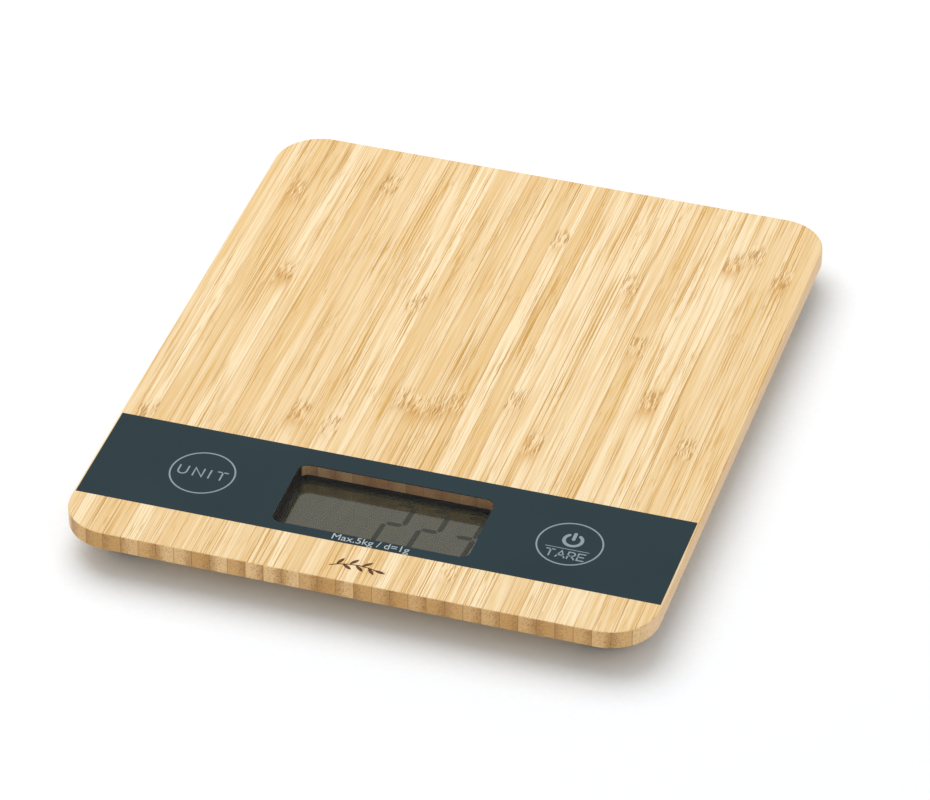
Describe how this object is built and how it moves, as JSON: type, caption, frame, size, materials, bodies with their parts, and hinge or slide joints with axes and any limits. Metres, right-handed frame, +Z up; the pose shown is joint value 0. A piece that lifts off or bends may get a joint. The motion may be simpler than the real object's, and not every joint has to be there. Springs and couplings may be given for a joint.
{
  "type": "kitchen scale",
  "caption": "Slim kitchen scale: a bamboo platform with a full-width dark film panel, display well and printed film keys, on round load-cell feet.",
  "frame": {"origin": "on the table under the middle of the platform", "axes": "the display side faces -Y, +X to its user's right, +Z up"},
  "size_m": [0.18, 0.215, 0.0153],
  "materials": {
    "bamboo": "pressed bamboo strips, fine satin lacquer",
    "film": "printed satin film",
    "clear_film": "clear area of the film",
    "white_plastic": "moulded, plain",
    "black_plastic": "moulded, fine texture",
    "polariser": "grey-green film",
    "display_glass": "thin flat glass",
    "reflector": "matt foil",
    "silicone": "striped silicone",
    "foam": "soft foam",
    "circuit": "solder mask over glass fibre",
    "epoxy": "cured epoxy",
    "components": "ceramic and moulded parts",
    "steel": "nickel-plated",
    "screw_steel": "zinc-plated",
    "load_cell_steel": "ground spring steel",
    "white_silicone": "cured sealant",
    "wire": "insulated wire",
    "rubber_foot": "soft, matt",
    "foot_plastic": "moulded"
  },
  "bodies": {
    "scale_body": {"bamboo_platform": "bamboo", "battery_contact_negative": "steel", "battery_contact_positive": "steel", "chip_blob": "epoxy", "coin_cell": "steel", "cover_screws": "screw_steel", "display_window": "clear_film", "foot_screws": "screw_steel", "front_cable_channels": "black_plastic", "front_left_cable": "wire", "front_left_foot": "foot_plastic", "front_left_foot_holder": "black_plastic", "front_left_load_cell": "load_cell_steel", "front_left_rubber_pad": "rubber_foot", "front_left_strain_gauge": "white_silicone", "front_right_cable": "wire", "front_right_foot": "foot_plastic", "front_right_foot_holder": "black_plastic", "front_right_load_cell": "load_cell_steel", "front_right_rubber_pad": "rubber_foot", "front_right_strain_gauge": "white_silicone", "housing_screws": "screw_steel", "lcd_foam_strip": "foam", "lcd_front_glass": "display_glass", "lcd_front_polariser": "polariser", "lcd_rear_glass": "display_glass", "lcd_reflector": "reflector", "main_board": "circuit", "panel_film": "film", "rear_cable_channels": "black_plastic", "rear_cover": "black_plastic", "rear_left_cable": "wire", "rear_left_foot": "foot_plastic", "rear_left_foot_holder": "black_plastic", "rear_left_load_cell": "load_cell_steel", "rear_left_rubber_pad": "rubber_foot", "rear_left_strain_gauge": "white_silicone", "rear_right_cable": "wire", "rear_right_foot": "foot_plastic", "rear_right_foot_holder": "black_plastic", "rear_right_load_cell": "load_cell_steel", "rear_right_rubber_pad": "rubber_foot", "rear_right_strain_gauge": "white_silicone", "smd_components": "components", "tare_switch_body": "black_plastic", "unit_switch_body": "black_plastic", "upper_housing": "black_plastic", "zebra_connector": "silicone"},
    "unit_key": {"unit_key_film": "film", "unit_key_plunger": "white_plastic", "unit_switch_actuator": "white_plastic"},
    "tare_key": {"tare_key_film": "film", "tare_key_plunger": "white_plastic", "tare_switch_actuator": "white_plastic"},
    "battery_door": {"battery_door": "black_plastic"}
  },
  "joints": [
    {"name": "unit_key_press", "type": "slide", "parent": "scale_body", "child": "unit_key", "axis": [0, 0, -1], "range_m": [0, 0.0003], "stiffness_N_per_m": 6000},
    {"name": "tare_key_press", "type": "slide", "parent": "scale_body", "child": "tare_key", "axis": [0, 0, -1], "range_m": [0, 0.0003], "stiffness_N_per_m": 6000},
    {"name": "battery_door_hinge", "type": "hinge", "parent": "scale_body", "child": "battery_door", "pos_m": [0, -0.0442, 0.0031], "axis": [-1, 0, 0], "range_deg": [0, 90]}
  ]
}
